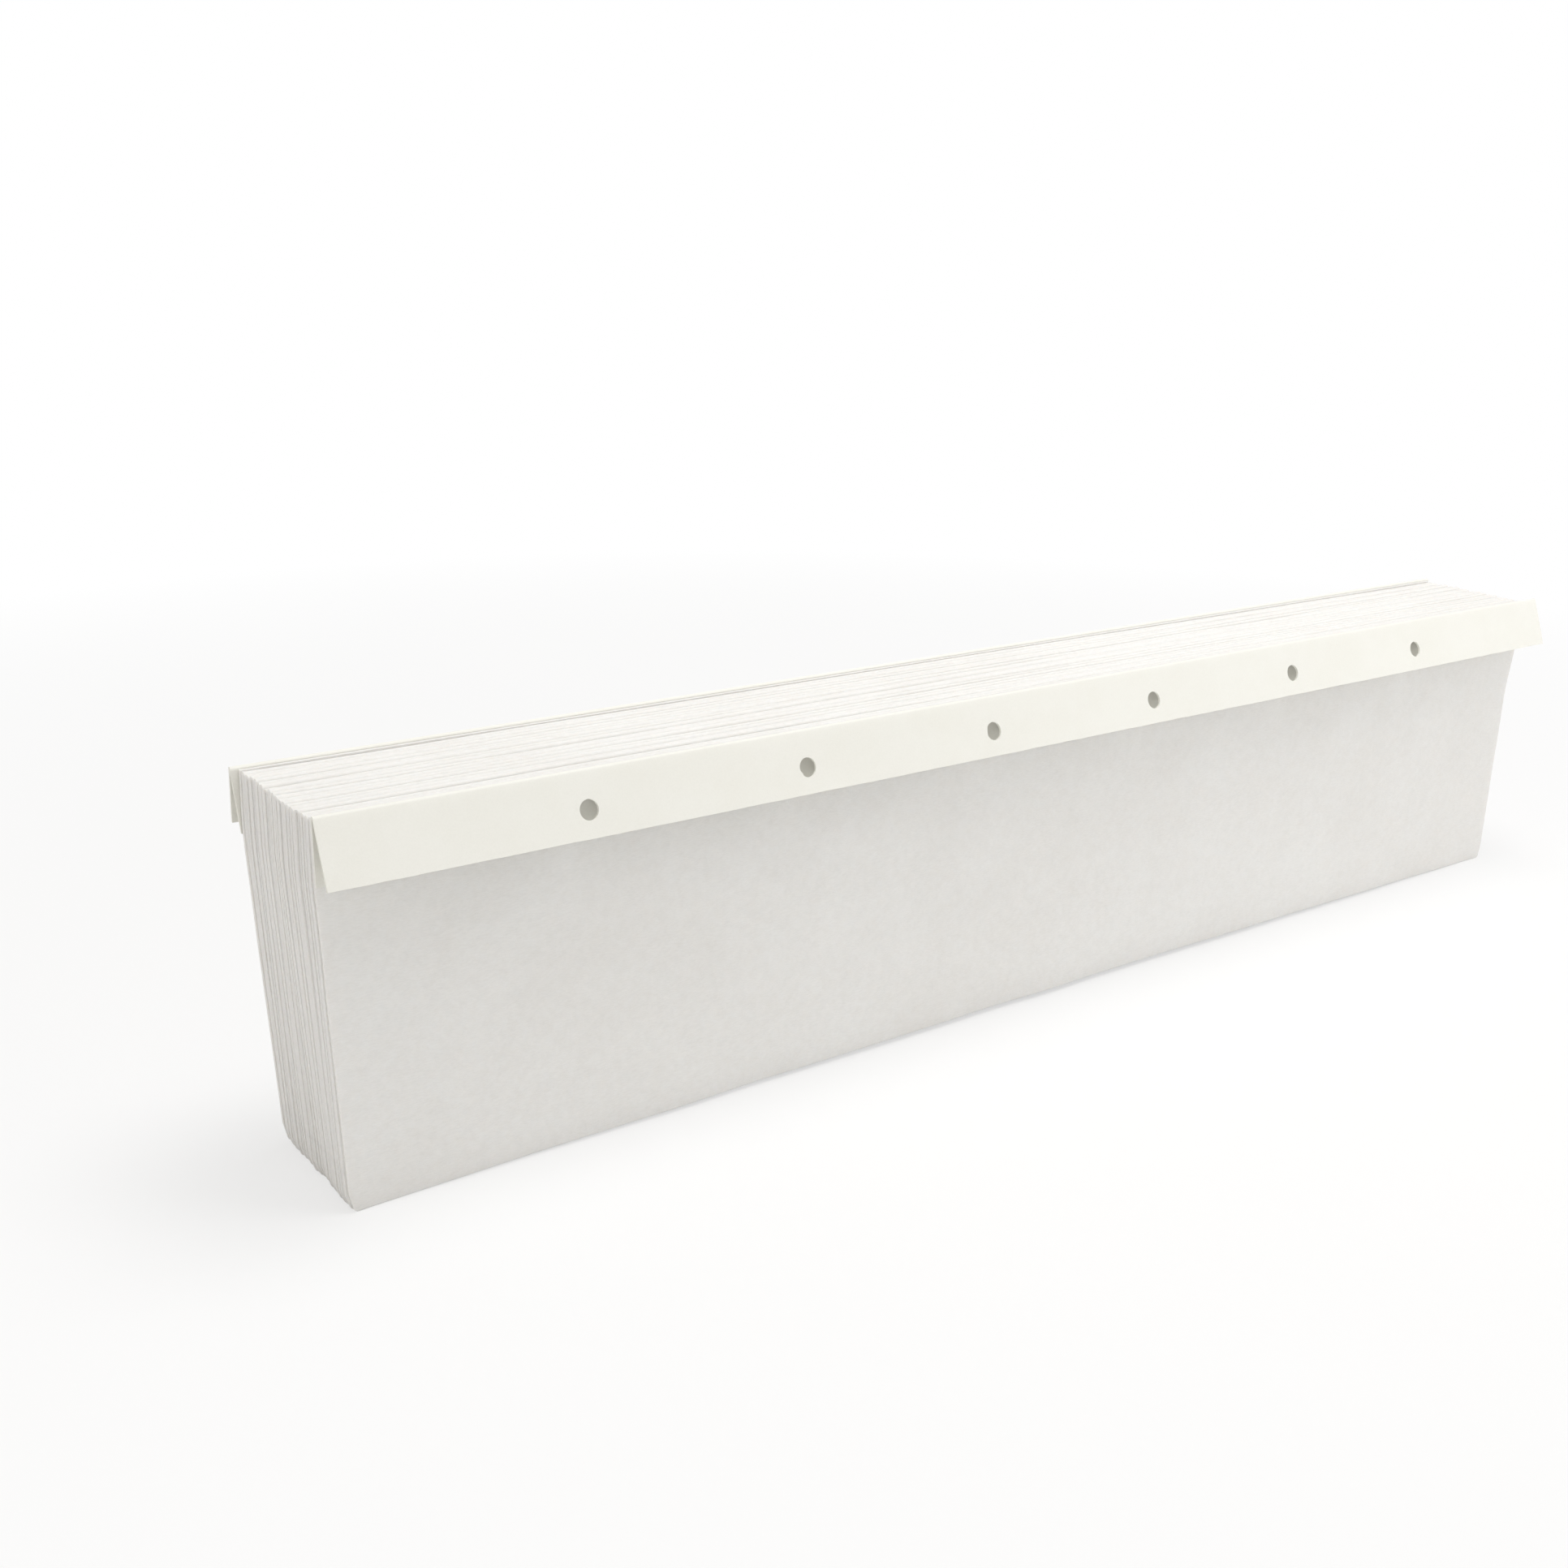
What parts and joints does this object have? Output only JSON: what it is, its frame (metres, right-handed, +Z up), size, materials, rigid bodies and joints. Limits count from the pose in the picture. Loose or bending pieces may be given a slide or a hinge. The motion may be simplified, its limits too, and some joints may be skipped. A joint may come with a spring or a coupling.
{
  "type": "pleated filter media pack",
  "caption": "Closed accordion pack of folded white felt filter media, with a folded card strip along each long top edge, its outer flap splayed and punched with round peg holes.",
  "frame": {"origin": "on the floor under the middle of the closed pack", "axes": "+X along the pleats and card strips, +Y across the pack from its front strip to its back strip, +Z up"},
  "size_m": [0.715, 0.085, 0.152],
  "materials": {
    "felt": "matte",
    "card": "matte",
    "hot_glue": "satin"
  },
  "bodies": {
    "panel_01": {"felt_panel_01": "felt", "front_strip_leg": "card", "front_glue_lines": "hot_glue"},
    "panel_02": {"felt_panel_02": "felt"},
    "panel_03": {"felt_panel_03": "felt"},
    "panel_04": {"felt_panel_04": "felt"},
    "panel_05": {"felt_panel_05": "felt"},
    "panel_06": {"felt_panel_06": "felt"},
    "panel_07": {"felt_panel_07": "felt"},
    "panel_08": {"felt_panel_08": "felt"},
    "panel_09": {"felt_panel_09": "felt"},
    "panel_10": {"felt_panel_10": "felt"},
    "panel_11": {"felt_panel_11": "felt"},
    "panel_12": {"felt_panel_12": "felt"},
    "panel_13": {"felt_panel_13": "felt"},
    "panel_14": {"felt_panel_14": "felt"},
    "panel_15": {"felt_panel_15": "felt"},
    "panel_16": {"felt_panel_16": "felt"},
    "panel_17": {"felt_panel_17": "felt"},
    "panel_18": {"felt_panel_18": "felt"},
    "panel_19": {"felt_panel_19": "felt"},
    "panel_20": {"felt_panel_20": "felt"},
    "panel_21": {"felt_panel_21": "felt"},
    "panel_22": {"felt_panel_22": "felt"},
    "panel_23": {"felt_panel_23": "felt"},
    "panel_24": {"felt_panel_24": "felt"},
    "panel_25": {"felt_panel_25": "felt"},
    "panel_26": {"felt_panel_26": "felt"},
    "panel_27": {"felt_panel_27": "felt"},
    "panel_28": {"felt_panel_28": "felt"},
    "panel_29": {"felt_panel_29": "felt"},
    "panel_30": {"felt_panel_30": "felt"},
    "panel_31": {"felt_panel_31": "felt"},
    "panel_32": {"felt_panel_32": "felt"},
    "panel_33": {"felt_panel_33": "felt"},
    "panel_34": {"felt_panel_34": "felt"},
    "panel_35": {"felt_panel_35": "felt"},
    "panel_36": {"felt_panel_36": "felt", "back_strip_leg": "card", "back_glue_lines": "hot_glue"},
    "front_flap": {"front_strip_flap": "card"},
    "back_flap": {"back_strip_flap": "card"}
  },
  "joints": [
    {"name": "fold_01", "type": "hinge", "parent": "panel_01", "child": "panel_02", "pos_m": [0, -0.02975, 0.0011], "axis": [-1, 0, 0], "range_deg": [0, 3.8]},
    {"name": "fold_02", "type": "hinge", "parent": "panel_02", "child": "panel_03", "pos_m": [0, -0.028, 0.1494], "axis": [1, 0, 0], "range_deg": [0, 7.6]},
    {"name": "fold_03", "type": "hinge", "parent": "panel_03", "child": "panel_04", "pos_m": [0, -0.02625, 0.0011], "axis": [-1, 0, 0], "range_deg": [0, 7.6]},
    {"name": "fold_04", "type": "hinge", "parent": "panel_04", "child": "panel_05", "pos_m": [0, -0.0245, 0.1494], "axis": [1, 0, 0], "range_deg": [0, 7.6]},
    {"name": "fold_05", "type": "hinge", "parent": "panel_05", "child": "panel_06", "pos_m": [0, -0.02275, 0.0011], "axis": [-1, 0, 0], "range_deg": [0, 7.6]},
    {"name": "fold_06", "type": "hinge", "parent": "panel_06", "child": "panel_07", "pos_m": [0, -0.021, 0.1494], "axis": [1, 0, 0], "range_deg": [0, 7.6]},
    {"name": "fold_07", "type": "hinge", "parent": "panel_07", "child": "panel_08", "pos_m": [0, -0.01925, 0.0011], "axis": [-1, 0, 0], "range_deg": [0, 7.6]},
    {"name": "fold_08", "type": "hinge", "parent": "panel_08", "child": "panel_09", "pos_m": [0, -0.0175, 0.1494], "axis": [1, 0, 0], "range_deg": [0, 7.6]},
    {"name": "fold_09", "type": "hinge", "parent": "panel_09", "child": "panel_10", "pos_m": [0, -0.01575, 0.0011], "axis": [-1, 0, 0], "range_deg": [0, 7.6]},
    {"name": "fold_10", "type": "hinge", "parent": "panel_10", "child": "panel_11", "pos_m": [0, -0.014, 0.1494], "axis": [1, 0, 0], "range_deg": [0, 7.6]},
    {"name": "fold_11", "type": "hinge", "parent": "panel_11", "child": "panel_12", "pos_m": [0, -0.01225, 0.0011], "axis": [-1, 0, 0], "range_deg": [0, 7.6]},
    {"name": "fold_12", "type": "hinge", "parent": "panel_12", "child": "panel_13", "pos_m": [0, -0.0105, 0.1494], "axis": [1, 0, 0], "range_deg": [0, 7.6]},
    {"name": "fold_13", "type": "hinge", "parent": "panel_13", "child": "panel_14", "pos_m": [0, -0.00875, 0.0011], "axis": [-1, 0, 0], "range_deg": [0, 7.6]},
    {"name": "fold_14", "type": "hinge", "parent": "panel_14", "child": "panel_15", "pos_m": [0, -0.007, 0.1494], "axis": [1, 0, 0], "range_deg": [0, 7.6]},
    {"name": "fold_15", "type": "hinge", "parent": "panel_15", "child": "panel_16", "pos_m": [0, -0.00525, 0.0011], "axis": [-1, 0, 0], "range_deg": [0, 7.6]},
    {"name": "fold_16", "type": "hinge", "parent": "panel_16", "child": "panel_17", "pos_m": [0, -0.0035, 0.1494], "axis": [1, 0, 0], "range_deg": [0, 7.6]},
    {"name": "fold_17", "type": "hinge", "parent": "panel_17", "child": "panel_18", "pos_m": [0, -0.00175, 0.0011], "axis": [-1, 0, 0], "range_deg": [0, 7.6]},
    {"name": "fold_18", "type": "hinge", "parent": "panel_18", "child": "panel_19", "pos_m": [0, 0, 0.1494], "axis": [1, 0, 0], "range_deg": [0, 7.6]},
    {"name": "fold_19", "type": "hinge", "parent": "panel_19", "child": "panel_20", "pos_m": [0, 0.00175, 0.0011], "axis": [-1, 0, 0], "range_deg": [0, 7.6]},
    {"name": "fold_20", "type": "hinge", "parent": "panel_20", "child": "panel_21", "pos_m": [0, 0.0035, 0.1494], "axis": [1, 0, 0], "range_deg": [0, 7.6]},
    {"name": "fold_21", "type": "hinge", "parent": "panel_21", "child": "panel_22", "pos_m": [0, 0.00525, 0.0011], "axis": [-1, 0, 0], "range_deg": [0, 7.6]},
    {"name": "fold_22", "type": "hinge", "parent": "panel_22", "child": "panel_23", "pos_m": [0, 0.007, 0.1494], "axis": [1, 0, 0], "range_deg": [0, 7.6]},
    {"name": "fold_23", "type": "hinge", "parent": "panel_23", "child": "panel_24", "pos_m": [0, 0.00875, 0.0011], "axis": [-1, 0, 0], "range_deg": [0, 7.6]},
    {"name": "fold_24", "type": "hinge", "parent": "panel_24", "child": "panel_25", "pos_m": [0, 0.0105, 0.1494], "axis": [1, 0, 0], "range_deg": [0, 7.6]},
    {"name": "fold_25", "type": "hinge", "parent": "panel_25", "child": "panel_26", "pos_m": [0, 0.01225, 0.0011], "axis": [-1, 0, 0], "range_deg": [0, 7.6]},
    {"name": "fold_26", "type": "hinge", "parent": "panel_26", "child": "panel_27", "pos_m": [0, 0.014, 0.1494], "axis": [1, 0, 0], "range_deg": [0, 7.6]},
    {"name": "fold_27", "type": "hinge", "parent": "panel_27", "child": "panel_28", "pos_m": [0, 0.01575, 0.0011], "axis": [-1, 0, 0], "range_deg": [0, 7.6]},
    {"name": "fold_28", "type": "hinge", "parent": "panel_28", "child": "panel_29", "pos_m": [0, 0.0175, 0.1494], "axis": [1, 0, 0], "range_deg": [0, 7.6]},
    {"name": "fold_29", "type": "hinge", "parent": "panel_29", "child": "panel_30", "pos_m": [0, 0.01925, 0.0011], "axis": [-1, 0, 0], "range_deg": [0, 7.6]},
    {"name": "fold_30", "type": "hinge", "parent": "panel_30", "child": "panel_31", "pos_m": [0, 0.021, 0.1494], "axis": [1, 0, 0], "range_deg": [0, 7.6]},
    {"name": "fold_31", "type": "hinge", "parent": "panel_31", "child": "panel_32", "pos_m": [0, 0.02275, 0.0011], "axis": [-1, 0, 0], "range_deg": [0, 7.6]},
    {"name": "fold_32", "type": "hinge", "parent": "panel_32", "child": "panel_33", "pos_m": [0, 0.0245, 0.1494], "axis": [1, 0, 0], "range_deg": [0, 7.6]},
    {"name": "fold_33", "type": "hinge", "parent": "panel_33", "child": "panel_34", "pos_m": [0, 0.02625, 0.0011], "axis": [-1, 0, 0], "range_deg": [0, 7.6]},
    {"name": "fold_34", "type": "hinge", "parent": "panel_34", "child": "panel_35", "pos_m": [0, 0.028, 0.1494], "axis": [1, 0, 0], "range_deg": [0, 7.6]},
    {"name": "fold_35", "type": "hinge", "parent": "panel_35", "child": "panel_36", "pos_m": [0, 0.02975, 0.0011], "axis": [-1, 0, 0], "range_deg": [0, 3.8]},
    {"name": "front_crease", "type": "hinge", "parent": "panel_01", "child": "front_flap", "pos_m": [0, -0.03345, 0.1515], "axis": [-1, 0, 0], "range_deg": [-20, 150], "stiffness_Nm_per_rad": 0.05},
    {"name": "back_crease", "type": "hinge", "parent": "panel_36", "child": "back_flap", "pos_m": [0, 0.03345, 0.1515], "axis": [1, 0, 0], "range_deg": [-20, 150], "stiffness_Nm_per_rad": 0.05}
  ],
  "couplings": [
    {"joint": "fold_02", "follows": "fold_01", "ratio": 2},
    {"joint": "fold_03", "follows": "fold_01", "ratio": 2},
    {"joint": "fold_04", "follows": "fold_01", "ratio": 2},
    {"joint": "fold_05", "follows": "fold_01", "ratio": 2},
    {"joint": "fold_06", "follows": "fold_01", "ratio": 2},
    {"joint": "fold_07", "follows": "fold_01", "ratio": 2},
    {"joint": "fold_08", "follows": "fold_01", "ratio": 2},
    {"joint": "fold_09", "follows": "fold_01", "ratio": 2},
    {"joint": "fold_10", "follows": "fold_01", "ratio": 2},
    {"joint": "fold_11", "follows": "fold_01", "ratio": 2},
    {"joint": "fold_12", "follows": "fold_01", "ratio": 2},
    {"joint": "fold_13", "follows": "fold_01", "ratio": 2},
    {"joint": "fold_14", "follows": "fold_01", "ratio": 2},
    {"joint": "fold_15", "follows": "fold_01", "ratio": 2},
    {"joint": "fold_16", "follows": "fold_01", "ratio": 2},
    {"joint": "fold_17", "follows": "fold_01", "ratio": 2},
    {"joint": "fold_18", "follows": "fold_01", "ratio": 2},
    {"joint": "fold_19", "follows": "fold_01", "ratio": 2},
    {"joint": "fold_20", "follows": "fold_01", "ratio": 2},
    {"joint": "fold_21", "follows": "fold_01", "ratio": 2},
    {"joint": "fold_22", "follows": "fold_01", "ratio": 2},
    {"joint": "fold_23", "follows": "fold_01", "ratio": 2},
    {"joint": "fold_24", "follows": "fold_01", "ratio": 2},
    {"joint": "fold_25", "follows": "fold_01", "ratio": 2},
    {"joint": "fold_26", "follows": "fold_01", "ratio": 2},
    {"joint": "fold_27", "follows": "fold_01", "ratio": 2},
    {"joint": "fold_28", "follows": "fold_01", "ratio": 2},
    {"joint": "fold_29", "follows": "fold_01", "ratio": 2},
    {"joint": "fold_30", "follows": "fold_01", "ratio": 2},
    {"joint": "fold_31", "follows": "fold_01", "ratio": 2},
    {"joint": "fold_32", "follows": "fold_01", "ratio": 2},
    {"joint": "fold_33", "follows": "fold_01", "ratio": 2},
    {"joint": "fold_34", "follows": "fold_01", "ratio": 2},
    {"joint": "fold_35", "follows": "fold_01", "ratio": 1}
  ]
}
